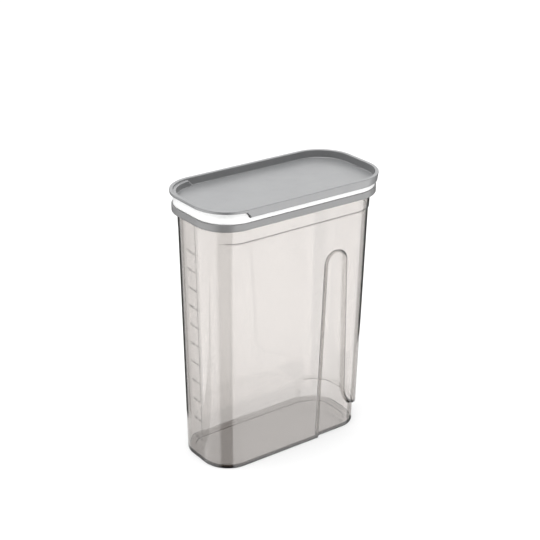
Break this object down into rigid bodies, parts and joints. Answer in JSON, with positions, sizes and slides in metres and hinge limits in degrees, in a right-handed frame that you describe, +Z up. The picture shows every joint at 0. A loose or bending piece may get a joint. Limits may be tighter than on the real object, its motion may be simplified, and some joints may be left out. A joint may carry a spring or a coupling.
{
  "type": "cereal container",
  "caption": "Tall clear cereal container with rounded corners, a grip channel, a lift-off lid and a full-length flip cover over its pour opening; the cover's raised rim forms a tray.",
  "frame": {"origin": "centre of the flat base, on the surface that the container stands on", "axes": "+Z up, +X along the long side from the finger lip to the hinge end, +Y along the narrow side"},
  "size_m": [0.2, 0.1006, 0.2663],
  "materials": {
    "clear_plastic": "clear, faintly smoky moulded plastic, polished",
    "collar_plastic": "mid grey moulded plastic, satin",
    "cover_plastic": "light grey moulded plastic, satin with a fine texture",
    "white_plastic": "white moulded plastic, semi-gloss",
    "silicone": "pale translucent silicone, matte",
    "pin_steel": "drawn wire, bright",
    "scale_ink": "grey printed ink"
  },
  "bodies": {
    "container": {"body": "clear_plastic", "collar": "collar_plastic", "scale_marks": "scale_ink"},
    "lid": {"lid_frame": "white_plastic", "mouth_seal": "silicone", "hinge_pin": "pin_steel"},
    "cover": {"flip_cover": "cover_plastic", "spout_seal": "silicone"}
  },
  "joints": [
    {"name": "lid_lift", "type": "slide", "parent": "container", "child": "lid", "axis": [0, 0, 1], "range_m": [0, 0.06]},
    {"name": "cover_flip", "type": "hinge", "parent": "lid", "child": "cover", "pos_m": [0.097, 0, 0.2553], "axis": [0, 1, 0], "range_deg": [0, 110]}
  ]
}
